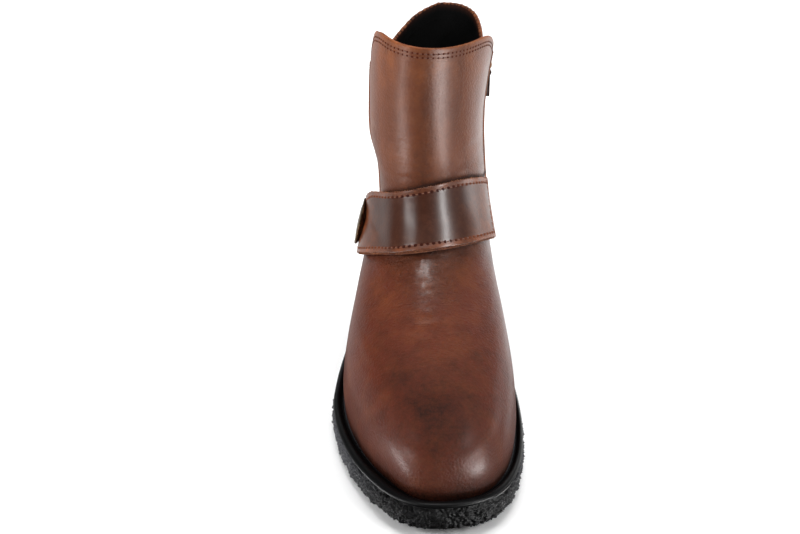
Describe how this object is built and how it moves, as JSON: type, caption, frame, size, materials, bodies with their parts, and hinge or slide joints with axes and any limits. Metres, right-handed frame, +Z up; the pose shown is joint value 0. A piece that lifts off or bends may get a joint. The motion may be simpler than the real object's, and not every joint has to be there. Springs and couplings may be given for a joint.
{
  "type": "biker boot",
  "caption": "Leather biker ankle boot for the right foot: hollow upper with open collar, side zip, studded instep strap, welt and lugged rubber sole.",
  "frame": {"origin": "on the floor under the middle of the sole's outline", "axes": "+Z up, toe along -Y, inner (big-toe and zip) side along +X"},
  "size_m": [0.1102, 0.2906, 0.2069],
  "materials": {
    "leather": "polished pull-up leather",
    "rubber": "matt moulded rubber",
    "lining": "black lining leather",
    "tape": "woven zip tape",
    "brass": "antique dark"
  },
  "bodies": {
    "boot": {"outsole": "rubber", "welt": "rubber", "insole": "lining", "upper": "leather", "front_panel": "leather", "strap": "leather", "strap_stud": "brass", "zip_tape": "tape", "zip_chain": "brass", "zip_slider": "brass"},
    "zip_pull": {"zip_pull_link": "brass", "zip_pull_tab": "leather"}
  },
  "joints": [
    {"name": "zip_pull_swing", "type": "hinge", "parent": "boot", "child": "zip_pull", "pos_m": [0.03562, 0.08087, 0.17941], "axis": [0.0119, -0.9969, 0.0781], "range_deg": [0, 150]}
  ]
}
